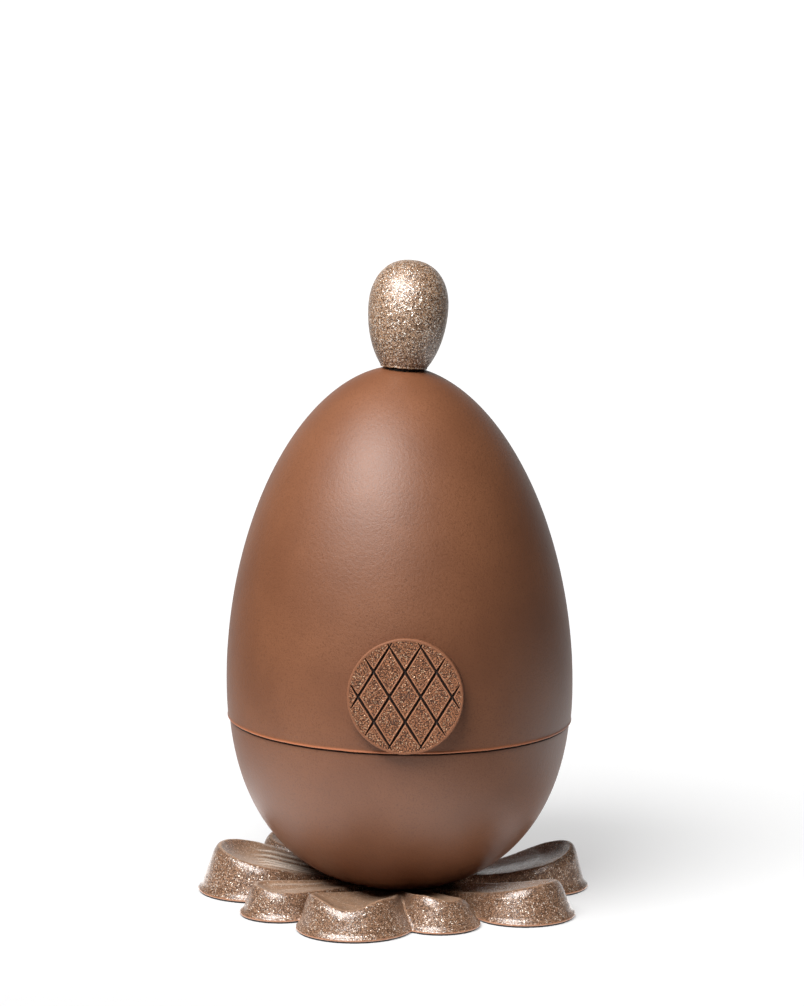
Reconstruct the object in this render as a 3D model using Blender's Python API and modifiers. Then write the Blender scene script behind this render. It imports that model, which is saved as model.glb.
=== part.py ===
"""A two-part moulded chocolate egg on a base of chocolate petals.

The egg is a shut lid and cup that meet at a seam. A round plaque sits on its front, and a
small egg stands on its top as a knob. Metres, +Z up, the origin on the base's flat underside
below the egg's axis. The plaque faces -Y.
"""

import math

import bmesh
import bpy
from mathutils import Vector

MM = 0.001
FIT_GAP = 0.3 * MM
WELD = 0.01 * MM

# The egg, an oval with its widest ring below the middle
EGG_RADIUS = 54.46 * MM
EGG_WIDEST_HEIGHT = 68.7 * MM
EGG_UPPER_REACH = 99.86 * MM
EGG_UPPER_FULLNESS = 1.915
EGG_LOWER_REACH = 67.0 * MM
EGG_LOWER_FULLNESS = 2.278
EGG_SEGMENTS = 64
EGG_UPPER_ROWS = 17
EGG_LOWER_ROWS = 13

# How the finished egg stands on its base, and the seam that parts lid from cup
EGG_SHIFT = 0.3 * MM
EGG_LEAN = math.radians(-0.3)
LID_OVERHANG = 0.42 * MM
SEAM_HEIGHT = 56.3 * MM
SEAM_TILT = math.radians(0.97)
SEAM_BLOCK_SIDE = 160.0 * MM

# The plaque on the front, in a frame whose Z points out of the egg
PLAQUE_RADIUS = 18.0 * MM
PLAQUE_RISE = 1.7 * MM
PLAQUE_DEPTH = 6.5 * MM
PLAQUE_DRAFT = 0.3 * MM
PLAQUE_EDGE_ROUND = 0.35 * MM
PLAQUE_HEIGHT = 74.9 * MM
PLAQUE_AZIMUTH = math.radians(-88.24)
PLAQUE_TURN = math.radians(-4.0)
PLAQUE_LIFT = math.radians(4.0)
PLAQUE_SEGMENTS = 48
GROOVE_FLOOR_WIDTH = 0.36 * MM
GROOVE_TOP_WIDTH = 0.81 * MM
GROOVE_DEPTH = 0.8 * MM
GROOVE_REACH = 17.1 * MM
GROOVE_ANGLES = (math.radians(58.0), math.radians(-58.0))
GROOVE_OFFSETS = (-12.3 * MM, -4.1 * MM, 4.1 * MM, 12.3 * MM)

# The knob, an upside-down small egg on a short foot
KNOB_RADIUS = 12.6 * MM
KNOB_UPPER_REACH = 15.3 * MM
KNOB_UPPER_FULLNESS = 2.22
KNOB_LOWER_REACH = 22.8 * MM
KNOB_LOWER_FULLNESS = 1.92
KNOB_CUT_DEPTH = 18.6 * MM
KNOB_EDGE_HEIGHT = 0.5 * MM
KNOB_EDGE_INSET = 0.2 * MM
KNOB_FOOT_ROUND = 0.15 * MM
KNOB_FOOT_RADIUS = 6.1 * MM
KNOB_FOOT_DEPTH = 4.0 * MM
KNOB_CENTRE = Vector((2.68, 1.93, 187.04)) * MM
KNOB_LEAN_RIGHT = math.radians(4.5)
KNOB_LEAN_BACK = math.radians(6.0)
KNOB_SEGMENTS = 32
KNOB_ROWS = 7

# The petals, anticlockwise from the right. azimuth and distance place the round outer end,
# whose flange has the radius. tip and root are rim heights at the outer end and near the
# middle, and climb says how late the rim rises. draft is the wall's slope, with side_draft
# more on the anticlockwise side. dip lowers the lip at dip_angle from the tip, tilt raises
# the anticlockwise side of the rim, and sink is the trough's share of the rim's height.
PETALS = (
    dict(azimuth=3.5, distance=45.2, radius=15.1, tip=14.2, root=5.2, climb=2.3,
         draft=13, side_draft=0, dip=0.0, dip_angle=0, tilt=1.0, sink=0.06),
    dict(azimuth=60.0, distance=42.0, radius=11.5, tip=9.0, root=4.0, climb=1.3,
         draft=20, side_draft=0, dip=0.0, dip_angle=0, tilt=0.0, sink=0.15),
    dict(azimuth=95.0, distance=46.0, radius=17.5, tip=12.5, root=3.5, climb=1.4,
         draft=20, side_draft=0, dip=1.5, dip_angle=10, tilt=0.0, sink=0.16),
    dict(azimuth=136.5, distance=46.5, radius=13.4, tip=10.4, root=3.5, climb=1.3,
         draft=20, side_draft=0, dip=0.0, dip_angle=0, tilt=0.0, sink=0.15),
    dict(azimuth=180.6, distance=45.0, radius=19.4, tip=15.0, root=2.8, climb=1.1,
         draft=20, side_draft=0, dip=0.0, dip_angle=0, tilt=-0.6, sink=0.11),
    dict(azimuth=220.5, distance=49.3, radius=12.9, tip=9.7, root=4.6, climb=1.1,
         draft=20, side_draft=0, dip=0.0, dip_angle=0, tilt=-0.6, sink=0.15),
    dict(azimuth=254.6, distance=52.9, radius=18.4, tip=13.2, root=2.8, climb=1.2,
         draft=25, side_draft=10, dip=3.9, dip_angle=6, tilt=0.0, sink=0.27),
    dict(azimuth=284.9, distance=48.6, radius=12.8, tip=11.0, root=3.0, climb=1.2,
         draft=27, side_draft=10, dip=1.2, dip_angle=5, tilt=-1.2, sink=0.20),
    dict(azimuth=318.9, distance=51.7, radius=16.2, tip=12.3, root=4.0, climb=1.8,
         draft=23, side_draft=0, dip=0.0, dip_angle=0, tilt=0.0, sink=0.14),
)
PETAL_ROOT_DISTANCE = 12.0 * MM
PETAL_ROOT_RADIUS = 5.0 * MM
PETAL_DIP_SPREAD = math.radians(42.0)
PETAL_LIP_WIDTH = 5.5
PETAL_CLIMB_LIMIT = 1.05
PETAL_ARC_STEPS = 9
PETAL_SIDE_STEPS = 4
PETAL_ROOT_STEPS = 2
TROUGH_BOWL = 2.0
TROUGH_RINGS = (0.8, 0.52, 0.22)

# Wall section of a petal: height above the table, and inset from the flange's edge
FLANGE_SECTION = ((0.0, 0.35), (0.7, 0.0), (1.2, 0.25), (1.8, 1.05), (3.4, 1.75))
FILLET_TOP_HEIGHT = 4.2
FILLET_TOP_INSET = 2.0

# Rounding of a petal's rim: depth below the rim, and further inset, full on wide stretches
RIM_SECTION = ((2.2, 0.0), (0.7, 0.35), (0.1, 0.8), (0.0, 1.25))
RIM_FULL_DROP_HEIGHT = 2.86
RIM_INSET_GUESS = 6.0 * MM
LOWEST_RIM = 4.2
LEAST_RIM_REACH = 0.4 * MM
FULL_ROUND_RADIUS = 12.0 * MM

# The thin seat in the middle of the base
SEAT_RADIUS = 20.0 * MM
SEAT_THICKNESS = 3.2 * MM
SEAT_SEGMENTS = 40

SHARP_EDGE = math.radians(40.0)

# Colours are linear
EGG_COLOUR = (0.20, 0.085, 0.045, 1.0)
PLAQUE_COLOUR = (0.27, 0.13, 0.075, 1.0)
SHIMMER_COLOUR = (0.25, 0.15, 0.10, 1.0)
EGG_ROUGHNESS = 0.42
PLAQUE_ROUGHNESS = 0.5
SHIMMER_ROUGHNESS = 0.4
SHIMMER_METALLIC = 0.3


def clear_scene():
    for item in list(bpy.data.objects):
        bpy.data.objects.remove(item)


def make_collection(name):
    collection = bpy.data.collections.new(name)
    bpy.context.scene.collection.children.link(collection)
    return collection


def make_material(name, colour, roughness, metallic):
    material = bpy.data.materials.new(name)
    material.use_nodes = True
    shader = material.node_tree.nodes["Principled BSDF"]
    shader.inputs["Base Color"].default_value = colour
    shader.inputs["Roughness"].default_value = roughness
    shader.inputs["Metallic"].default_value = metallic
    return material


def add_object(name, mesh, collection, material=None):
    item = bpy.data.objects.new(name, mesh)
    collection.objects.link(item)
    if material:
        mesh.materials.append(material)
    return item


def hide_cutter(cutter):
    cutter.hide_render = True
    cutter.display_type = "WIRE"


def oval_radius(offset, radius, reach, fullness):
    """Radius of an oval at a height offset from its widest ring."""
    share = min(abs(offset) / reach, 1.0)
    return radius * (1.0 - share ** fullness) ** (1.0 / fullness)


def oval_profile(radius, upper, lower, centre, rows):
    """Outer side of an oval from top pole to bottom pole, as (radius, height) pairs."""
    upper_reach, upper_fullness = upper
    lower_reach, lower_fullness = lower
    upper_rows, lower_rows = rows
    points = []
    for row in range(upper_rows):
        turn = 0.5 * math.pi * row / upper_rows
        share = math.cos(turn) ** (2.0 / upper_fullness)
        points.append((radius * math.sin(turn) ** (2.0 / upper_fullness),
                       centre + upper_reach * share))
    for row in range(lower_rows + 1):
        turn = 0.5 * math.pi * row / lower_rows
        share = math.sin(turn) ** (2.0 / lower_fullness)
        points.append((radius * math.cos(turn) ** (2.0 / lower_fullness) if row < lower_rows else 0.0,
                       centre - lower_reach * share))
    return points


def egg_profile(growth):
    """The egg's outer side, grown by the same amount all over."""
    return oval_profile(
        EGG_RADIUS + growth,
        (EGG_UPPER_REACH + growth, EGG_UPPER_FULLNESS),
        (EGG_LOWER_REACH + growth, EGG_LOWER_FULLNESS),
        EGG_WIDEST_HEIGHT,
        (EGG_UPPER_ROWS, EGG_LOWER_ROWS),
    )


def turn_profile(name, profile, segments, collection, material=None):
    """A solid turned about Z from a profile that runs down its outer side."""
    mesh = bpy.data.meshes.new(name)
    points = [(radius, 0.0, height) for radius, height in profile]
    edges = [(index, index + 1) for index in range(len(points) - 1)]
    mesh.from_pydata(points, edges, [])
    item = add_object(name, mesh, collection, material)
    screw = item.modifiers.new("Turn", "SCREW")
    screw.steps = segments
    screw.render_steps = segments
    screw.use_merge_vertices = True
    screw.merge_threshold = WELD
    screw.use_smooth_shade = True
    return item


def cut(item, cutter, crossing=False):
    """Cut the cutter's form out of an item; crossing is for a cutter whose own bodies cross."""
    modifier = item.modifiers.new("Cut " + cutter.name, "BOOLEAN")
    modifier.operation = "DIFFERENCE"
    modifier.solver = "EXACT"
    modifier.use_self = crossing
    modifier.object = cutter


def seam_block(name, lid_side, cutters):
    """A block that fills one side of the seam's plane, half a fit gap past it."""
    bpy.ops.mesh.primitive_cube_add(size=1.0)
    block = bpy.context.object
    block.name = name
    for owner in list(block.users_collection):
        owner.objects.unlink(block)
    cutters.objects.link(block)
    direction = 1.0 if lid_side else -1.0
    for vertex in block.data.vertices:
        vertex.co.x *= SEAM_BLOCK_SIDE
        vertex.co.y *= SEAM_BLOCK_SIDE
        vertex.co.z = (vertex.co.z + 0.5 * direction) * SEAM_BLOCK_SIDE - 0.5 * direction * FIT_GAP
    block.location = (0.0, 0.0, SEAM_HEIGHT)
    block.rotation_euler = (0.0, SEAM_TILT, 0.0)
    hide_cutter(block)
    return block


def make_egg(parts, cutters, axis, material):
    cup = turn_profile("egg_cup", egg_profile(0.0), EGG_SEGMENTS, parts, material)
    cup.parent = axis
    cut(cup, seam_block("space_over_seam", True, cutters))
    lid = turn_profile("egg_lid", egg_profile(LID_OVERHANG), EGG_SEGMENTS, parts, material)
    lid.parent = axis
    cut(lid, seam_block("space_under_seam", False, cutters))


def egg_space(name, growth, axis, cutters):
    """The egg's form, grown by a clearance, to fit another piece against it."""
    space = turn_profile(name, egg_profile(growth), EGG_SEGMENTS, cutters)
    space.parent = axis
    hide_cutter(space)
    return space


def groove_cutter(cutters, frame_item):
    """All grooves of the plaque's lattice as one cutter, two sets of straight V-edged bars."""
    mesh = bpy.data.meshes.new("lattice_grooves")
    grooves = bmesh.new()
    for angle in GROOVE_ANGLES:
        along = Vector((math.cos(angle), math.sin(angle), 0.0))
        across = Vector((-math.sin(angle), math.cos(angle), 0.0))
        for offset in GROOVE_OFFSETS:
            half_length = math.sqrt(GROOVE_REACH ** 2 - offset ** 2)
            bar = bmesh.ops.create_cube(grooves, size=1.0)["verts"]
            for corner in bar:
                low = corner.co.z < 0.0
                width = GROOVE_FLOOR_WIDTH if low else GROOVE_TOP_WIDTH
                height = -GROOVE_DEPTH if low else GROOVE_DEPTH
                spot = along * (corner.co.x * 2.0 * half_length)
                spot += across * (offset + corner.co.y * width)
                corner.co = spot + Vector((0.0, 0.0, height))
    grooves.to_mesh(mesh)
    grooves.free()
    cutter = add_object("lattice_grooves", mesh, cutters)
    cutter.parent = frame_item
    hide_cutter(cutter)
    return cutter


def make_plaque(parts, cutters, axis, material):
    radius = oval_radius(PLAQUE_HEIGHT - EGG_WIDEST_HEIGHT, EGG_RADIUS + LID_OVERHANG,
                         EGG_UPPER_REACH, EGG_UPPER_FULLNESS)
    front = radius + PLAQUE_RISE
    mesh = bpy.data.meshes.new("medallion")
    disc = bmesh.new()
    bmesh.ops.create_cone(disc, cap_ends=True, segments=PLAQUE_SEGMENTS,
                          radius1=PLAQUE_RADIUS + PLAQUE_DRAFT, radius2=PLAQUE_RADIUS, depth=PLAQUE_DEPTH)
    bmesh.ops.translate(disc, verts=disc.verts, vec=(0.0, 0.0, -0.5 * PLAQUE_DEPTH))
    rim = [edge for edge in disc.edges if all(vertex.co.z > -WELD for vertex in edge.verts)]
    bmesh.ops.bevel(disc, geom=rim, offset=PLAQUE_EDGE_ROUND, offset_type="OFFSET", segments=2, profile=0.5,
                    affect="EDGES")
    disc.to_mesh(mesh)
    disc.free()
    plaque = add_object("medallion", mesh, parts, material)
    plaque.parent = axis
    plaque.location = (front * math.cos(PLAQUE_AZIMUTH), front * math.sin(PLAQUE_AZIMUTH), PLAQUE_HEIGHT)
    facing = PLAQUE_AZIMUTH + PLAQUE_TURN
    plaque.rotation_euler = (0.5 * math.pi - PLAQUE_LIFT, 0.0, facing + 0.5 * math.pi)
    cut(plaque, egg_space("egg_behind_plaque", LID_OVERHANG + FIT_GAP, axis, cutters))
    cut(plaque, groove_cutter(cutters, plaque), crossing=True)


def knob_profile():
    """The knob's side from its top pole to its cut lower end, then its foot."""
    points = []
    for row in range(KNOB_ROWS):
        turn = 0.5 * math.pi * row / KNOB_ROWS
        points.append((KNOB_RADIUS * math.sin(turn) ** (2.0 / KNOB_UPPER_FULLNESS),
                       KNOB_UPPER_REACH * math.cos(turn) ** (2.0 / KNOB_UPPER_FULLNESS)))
    wall_depth = KNOB_CUT_DEPTH - KNOB_EDGE_HEIGHT
    for row in range(KNOB_ROWS + 1):
        depth = wall_depth * math.sin(0.5 * math.pi * row / KNOB_ROWS)
        points.append((oval_radius(depth, KNOB_RADIUS, KNOB_LOWER_REACH, KNOB_LOWER_FULLNESS), -depth))
    rim_radius = points[-1][0]
    points.append((rim_radius - KNOB_EDGE_INSET, -KNOB_CUT_DEPTH + KNOB_FOOT_ROUND))
    points.append((KNOB_FOOT_RADIUS + KNOB_FOOT_ROUND, -KNOB_CUT_DEPTH))
    points.append((KNOB_FOOT_RADIUS, -KNOB_CUT_DEPTH - KNOB_FOOT_ROUND))
    points.append((KNOB_FOOT_RADIUS, -KNOB_CUT_DEPTH - KNOB_FOOT_DEPTH))
    points.append((0.0, -KNOB_CUT_DEPTH - KNOB_FOOT_DEPTH))
    return points


def make_knob(parts, cutters, axis, material):
    knob = turn_profile("knob", knob_profile(), KNOB_SEGMENTS, parts, material)
    knob.location = KNOB_CENTRE
    knob.rotation_euler = (-KNOB_LEAN_BACK, KNOB_LEAN_RIGHT, 0.0)
    cut(knob, egg_space("egg_under_knob", LID_OVERHANG + FIT_GAP, axis, cutters))


def petal_stations(petal):
    """Stations round a petal, mirrored about its axis, from its tip to its root and back.

    Each is a point on the petal's spine, an outward direction, a radius and the direction's
    angle from the petal's axis. The outline is that of a large circle at the tip and a small
    one at the root, with straight sides.
    """
    azimuth = math.radians(petal["azimuth"])
    axis = Vector((math.cos(azimuth), math.sin(azimuth), 0.0))
    side = Vector((-axis.y, axis.x, 0.0))
    distance = petal["distance"] * MM
    radius = petal["radius"] * MM
    tip_centre = axis * distance
    root_centre = axis * PETAL_ROOT_DISTANCE
    tangent = math.acos((PETAL_ROOT_RADIUS - radius) / (distance - PETAL_ROOT_DISTANCE))
    half = []
    for step in range(PETAL_ARC_STEPS + 1):
        half.append((tip_centre, tangent * step / PETAL_ARC_STEPS, radius))
    for step in range(1, PETAL_SIDE_STEPS):
        share = step / PETAL_SIDE_STEPS
        half.append((tip_centre.lerp(root_centre, share), tangent,
                     radius + (PETAL_ROOT_RADIUS - radius) * share))
    for step in range(PETAL_ROOT_STEPS + 1):
        turn = tangent + (math.pi - tangent) * step / PETAL_ROOT_STEPS
        half.append((root_centre, turn, PETAL_ROOT_RADIUS))
    signed = [(1.0, station) for station in half] + [(-1.0, station) for station in half[-2:0:-1]]
    stations = []
    for sign, (spine, turn, reach) in signed:
        outward = axis * math.cos(turn) + side * (sign * math.sin(turn))
        stations.append((spine, outward, reach, sign * turn))
    return stations


def wall_inset(height, petal, turn):
    """Inset of a petal's wall from its flange edge, in millimetres."""
    draft = petal["draft"] + petal["side_draft"] * math.sin(turn)
    heights = [row[0] for row in FLANGE_SECTION] + [FILLET_TOP_HEIGHT]
    insets = [row[1] for row in FLANGE_SECTION] + [FILLET_TOP_INSET]
    for index in range(1, len(heights)):
        if height <= heights[index]:
            share = (height - heights[index - 1]) / (heights[index] - heights[index - 1])
            return insets[index - 1] + share * (insets[index] - insets[index - 1])
    return FILLET_TOP_INSET + (height - FILLET_TOP_HEIGHT) * math.tan(math.radians(draft))


def climb_share(petal, reach):
    """How far up its climb a petal's rim is, where it is reach from the middle."""
    start = PETAL_ROOT_DISTANCE / MM
    end = petal["distance"] + petal["radius"] - PETAL_LIP_WIDTH
    return min(max((reach / MM - start) / (end - start), 0.0), PETAL_CLIMB_LIMIT)


def side_height(petal, reach):
    """Height of a petal's rim along its sides, in millimetres."""
    share = climb_share(petal, reach)
    return petal["root"] + (petal["tip"] - petal["root"]) * share ** petal["climb"]


def rim_height(petal, reach, turn):
    """Height of a petal's rim with its dip and tilt, in millimetres."""
    off_dip = (turn - math.radians(petal["dip_angle"])) / PETAL_DIP_SPREAD
    dip = petal["dip"] * math.exp(-off_dip ** 2)
    tilt = petal["tilt"] * math.sin(turn) * climb_share(petal, reach)
    return side_height(petal, reach) - dip + tilt


def petal_rings(petal):
    """Rings of points from a petal's underside, up its wall, over its rim, into its trough."""
    stations = petal_stations(petal)
    rims = []
    for spine, outward, radius, turn in stations:
        rough = spine + outward * max(radius - RIM_INSET_GUESS, LEAST_RIM_REACH)
        rims.append(max(rim_height(petal, rough.length, turn), LOWEST_RIM))
    rings = []
    for height, inset in FLANGE_SECTION:
        rings.append([spine + outward * (radius - inset * MM) + Vector((0.0, 0.0, height * MM))
                      for spine, outward, radius, turn in stations])
    for drop, further in RIM_SECTION:
        ring = []
        for (spine, outward, radius, turn), rim in zip(stations, rims):
            height = rim - drop * min(1.0, (rim - FLANGE_SECTION[-1][0]) / RIM_FULL_DROP_HEIGHT)
            inset = wall_inset(height, petal, turn) + further * min(1.0, radius / FULL_ROUND_RADIUS)
            reach = max(radius - inset * MM, LEAST_RIM_REACH)
            ring.append(spine + outward * reach + Vector((0.0, 0.0, height * MM)))
        rings.append(ring)
    rim_ring = rings[-1]
    for share in TROUGH_RINGS:
        ring = []
        for (spine, outward, radius, turn), point in zip(stations, rim_ring):
            flat = spine + (Vector((point.x, point.y, 0.0)) - spine) * share
            floor = (1.0 - petal["sink"]) * side_height(petal, spine.length) * MM
            ring.append(Vector((flat.x, flat.y, floor + (point.z - floor) * share ** TROUGH_BOWL)))
        rings.append(ring)
    return rings


def ladder_faces(first, count, upward):
    """Faces that close a mirrored ring across the petal's axis."""
    faces = [(first, first + 1, first + count - 1)]
    for step in range(1, count // 2 - 1):
        faces.append((first + step, first + step + 1, first + count - step - 1, first + count - step))
    last = count // 2
    faces.append((first + last - 1, first + last, first + last + 1))
    return faces if upward else [face[::-1] for face in faces]


def petal_object(index, petal, collection):
    """One petal as a closed loft through its rings."""
    rings = petal_rings(petal)
    count = len(rings[0])
    points = [point for ring in rings for point in ring]
    faces = ladder_faces(0, count, False)
    for row in range(len(rings) - 1):
        for step in range(count):
            following = (step + 1) % count
            faces.append((row * count + step, row * count + following,
                          (row + 1) * count + following, (row + 1) * count + step))
    faces += ladder_faces((len(rings) - 1) * count, count, True)
    mesh = bpy.data.meshes.new("petal_%d" % index)
    mesh.from_pydata([point.to_tuple() for point in points], [], faces)
    return add_object("petal_%d" % index, mesh, collection)


def applied_mesh(item):
    """The object's mesh with its modifiers applied."""
    bpy.context.view_layer.update()
    graph = bpy.context.evaluated_depsgraph_get()
    return bpy.data.meshes.new_from_object(item.evaluated_get(graph))


def make_base(parts, cutters, axis, material):
    petals = make_collection("petals")
    for index, petal in enumerate(PETALS):
        petal_object(index, petal, petals)
    seat = bpy.data.meshes.new("seat")
    disc = bmesh.new()
    bmesh.ops.create_cone(disc, cap_ends=True, segments=SEAT_SEGMENTS, radius1=SEAT_RADIUS,
                          radius2=SEAT_RADIUS, depth=SEAT_THICKNESS)
    bmesh.ops.translate(disc, verts=disc.verts, vec=(0.0, 0.0, 0.5 * SEAT_THICKNESS))
    disc.to_mesh(seat)
    disc.free()
    base = add_object("base_rosette", seat, parts, material)
    union = base.modifiers.new("Join petals", "BOOLEAN")
    union.operation = "UNION"
    union.solver = "EXACT"
    union.operand_type = "COLLECTION"
    union.collection = petals
    joined = applied_mesh(base)
    base.modifiers.remove(union)
    base.data = joined
    for petal in list(petals.objects):
        bpy.data.objects.remove(petal)
    bpy.data.collections.remove(petals)
    cut(base, egg_space("egg_on_seat", FIT_GAP, axis, cutters))


def smooth_rounds(parts):
    for item in parts.objects:
        if item.type == "MESH":
            item.data.shade_smooth()
            item.data.set_sharp_from_angle(angle=SHARP_EDGE)


def main():
    clear_scene()
    parts = make_collection("chocolate_egg")
    cutters = make_collection("cutters")
    milk_chocolate = make_material("milk_chocolate", EGG_COLOUR, EGG_ROUGHNESS, 0.0)
    plaque_chocolate = make_material("plaque_chocolate", PLAQUE_COLOUR, PLAQUE_ROUGHNESS, 0.0)
    shimmer_chocolate = make_material("shimmer_chocolate", SHIMMER_COLOUR, SHIMMER_ROUGHNESS,
                                      SHIMMER_METALLIC)
    axis = bpy.data.objects.new("egg_axis", None)
    parts.objects.link(axis)
    axis.location = (EGG_SHIFT, 0.0, 0.0)
    axis.rotation_euler = (0.0, EGG_LEAN, 0.0)
    make_egg(parts, cutters, axis, milk_chocolate)
    make_plaque(parts, cutters, axis, plaque_chocolate)
    make_knob(parts, cutters, axis, shimmer_chocolate)
    make_base(parts, cutters, axis, shimmer_chocolate)
    smooth_rounds(parts)


main()
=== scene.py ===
import math

import bmesh
import bpy
import numpy as np
from mathutils import Euler, Matrix, Vector, noise


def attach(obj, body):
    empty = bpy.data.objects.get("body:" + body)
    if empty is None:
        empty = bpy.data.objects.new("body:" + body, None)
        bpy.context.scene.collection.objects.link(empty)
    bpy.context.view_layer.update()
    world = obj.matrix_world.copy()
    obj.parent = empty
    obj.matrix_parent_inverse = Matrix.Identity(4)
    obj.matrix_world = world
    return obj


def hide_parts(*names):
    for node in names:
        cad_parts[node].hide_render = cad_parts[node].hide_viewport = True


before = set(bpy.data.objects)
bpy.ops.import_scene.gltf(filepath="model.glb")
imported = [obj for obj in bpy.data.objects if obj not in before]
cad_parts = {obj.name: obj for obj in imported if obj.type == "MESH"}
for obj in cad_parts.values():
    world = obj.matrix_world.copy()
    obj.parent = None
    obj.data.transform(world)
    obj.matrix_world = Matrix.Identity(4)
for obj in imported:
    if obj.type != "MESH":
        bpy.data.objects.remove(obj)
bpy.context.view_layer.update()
mm = 0.001


# small helpers for meshes

def makePiece(name, points, faces, material, smooth=True):
    mesh = bpy.data.meshes.new(name)
    mesh.from_pydata([tuple(point) for point in points], [], faces)
    mesh.materials.append(material)
    piece = bpy.data.objects.new(name, mesh)
    bpy.context.scene.collection.objects.link(piece)
    if smooth:
        mesh.shade_smooth()
    return piece


def gridFaces(rows, columns, first=0, flip=False):
    # quads between closed rings of points, each ring one row
    faces = []
    for row in range(rows - 1):
        for column in range(columns):
            following = (column + 1) % columns
            a = first + row * columns + column
            b = first + row * columns + following
            quad = (a, b, b + columns, a + columns)
            faces.append(quad[::-1] if flip else quad)
    return faces


def fanFaces(centre, first, columns, flip=False):
    faces = []
    for column in range(columns):
        triangle = (centre, first + column, first + (column + 1) % columns)
        faces.append(triangle[::-1] if flip else triangle)
    return faces


def closedFaces(rings, columns):
    # a closed skin over rings of points, with a middle point after them for each end
    faces = gridFaces(rings, columns, flip=True)
    faces += fanFaces(rings * columns, 0, columns)
    faces += fanFaces(rings * columns + 1, (rings - 1) * columns, columns, flip=True)
    return faces


def ringTurns(columns):
    return np.arange(columns) * 2.0 * math.pi / columns


def ringPoints(radius, height, turns):
    # a ring round the z axis. radius and height are one number, or one for each turn
    level = np.broadcast_to(height, turns.shape)
    return np.stack([radius * np.cos(turns), radius * np.sin(turns), level], axis=1)


def ringNoise(turns, bumps, level):
    # soft noise round a ring, finer with more bumps
    return np.array([noise.noise(Vector((math.cos(turn) * bumps, math.sin(turn) * bumps, level)))
                     for turn in turns])


def ringValues(values, columns, lastMiddle=0.0):
    # one value for each ring's points, then one for each of the two middle points
    return np.concatenate([np.repeat(values, columns), (0.0, lastMiddle)])


def placed(points, matrix):
    return points @ matrix[:3, :3].T + matrix[:3, 3]


def addAttribute(mesh, name, values):
    attribute = mesh.attributes.new(name, "FLOAT", "POINT")
    attribute.data.foreach_set("value", np.asarray(values, dtype=np.float32))


def smoothStep(low, high, value):
    share = np.clip((value - low) / (high - low), 0.0, 1.0)
    return share * share * (3.0 - 2.0 * share)


def waves(points, size, seed):
    # soft noise from -1 to 1 at points, size is the width of a wave
    shift = Vector((seed * 1.7, seed * 0.9, seed * 2.3))
    return np.array([noise.noise(Vector(point) / size + shift) for point in points])


def pebbles(x, y, cell, seed):
    # distance from each point to the nearest seeded grain, in cells
    rng = np.random.default_rng(seed)
    table = rng.random((257, 2))
    column = np.floor(x / cell).astype(int)
    row = np.floor(y / cell).astype(int)
    nearest = np.full(x.shape, 9.0)
    for stepX in (-1, 0, 1):
        for stepY in (-1, 0, 1):
            key = ((column + stepX) * 73 + (row + stepY) * 151) % 257
            grainX = column + stepX + table[key, 0]
            grainY = row + stepY + table[key, 1]
            nearest = np.minimum(nearest, np.hypot(x / cell - grainX, y / cell - grainY))
    return nearest


# small helpers for materials

def newMaterial(name):
    material = bpy.data.materials.new(name)
    material.use_nodes = True
    tree = material.node_tree
    return material, tree, tree.nodes["Principled BSDF"]


def addNode(tree, kind, **settings):
    node = tree.nodes.new(kind)
    for key, value in settings.items():
        setattr(node, key, value)
    return node


def objectPlace(tree):
    return addNode(tree, "ShaderNodeTexCoord").outputs["Object"]


def noiseField(tree, place, size, detail=2.0):
    field = addNode(tree, "ShaderNodeTexNoise")
    field.inputs["Scale"].default_value = 1.0 / size
    field.inputs["Detail"].default_value = detail
    tree.links.new(place, field.inputs["Vector"])
    return field.outputs["Fac"]


def cellField(tree, place, size):
    field = addNode(tree, "ShaderNodeTexVoronoi")
    field.inputs["Scale"].default_value = 1.0 / size
    tree.links.new(place, field.inputs["Vector"])
    return field.outputs["Distance"], field.outputs["Color"]


def remap(tree, value, low, high, toLow=0.0, toHigh=1.0):
    node = addNode(tree, "ShaderNodeMapRange")
    node.inputs["From Min"].default_value = low
    node.inputs["From Max"].default_value = high
    node.inputs["To Min"].default_value = toLow
    node.inputs["To Max"].default_value = toHigh
    tree.links.new(value, node.inputs["Value"])
    return node.outputs["Result"]


def maths(tree, operation, first, second):
    node = addNode(tree, "ShaderNodeMath", operation=operation)
    for socket, value in zip(node.inputs, (first, second)):
        if isinstance(value, (int, float)):
            socket.default_value = value
        else:
            tree.links.new(value, socket)
    return node.outputs["Value"]


def mixColours(tree, share, first, second):
    node = addNode(tree, "ShaderNodeMix", data_type="RGBA")
    tree.links.new(share, node.inputs[0])
    for socket, value in ((node.inputs[6], first), (node.inputs[7], second)):
        if isinstance(value, tuple):
            socket.default_value = (*value, 1.0)
        else:
            tree.links.new(value, socket)
    return node.outputs[2]


def attributeValue(tree, name):
    return addNode(tree, "ShaderNodeAttribute", attribute_name=name).outputs["Fac"]


def addBump(tree, height, distance, strength, normal=None):
    bump = addNode(tree, "ShaderNodeBump")
    bump.inputs["Distance"].default_value = distance
    bump.inputs["Strength"].default_value = strength
    tree.links.new(height, bump.inputs["Height"])
    if normal:
        tree.links.new(normal, bump.inputs["Normal"])
    return bump.outputs["Normal"]


def upwardShare(tree, low, high):
    # 0 on walls, 1 where the surface faces up
    split = addNode(tree, "ShaderNodeSeparateXYZ")
    tree.links.new(addNode(tree, "ShaderNodeNewGeometry").outputs["Normal"], split.inputs["Vector"])
    return remap(tree, split.outputs["Z"], low, high)


def heightShare(tree, place, low, high):
    split = addNode(tree, "ShaderNodeSeparateXYZ")
    tree.links.new(place, split.inputs["Vector"])
    return remap(tree, split.outputs["Z"], low, high)


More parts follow.
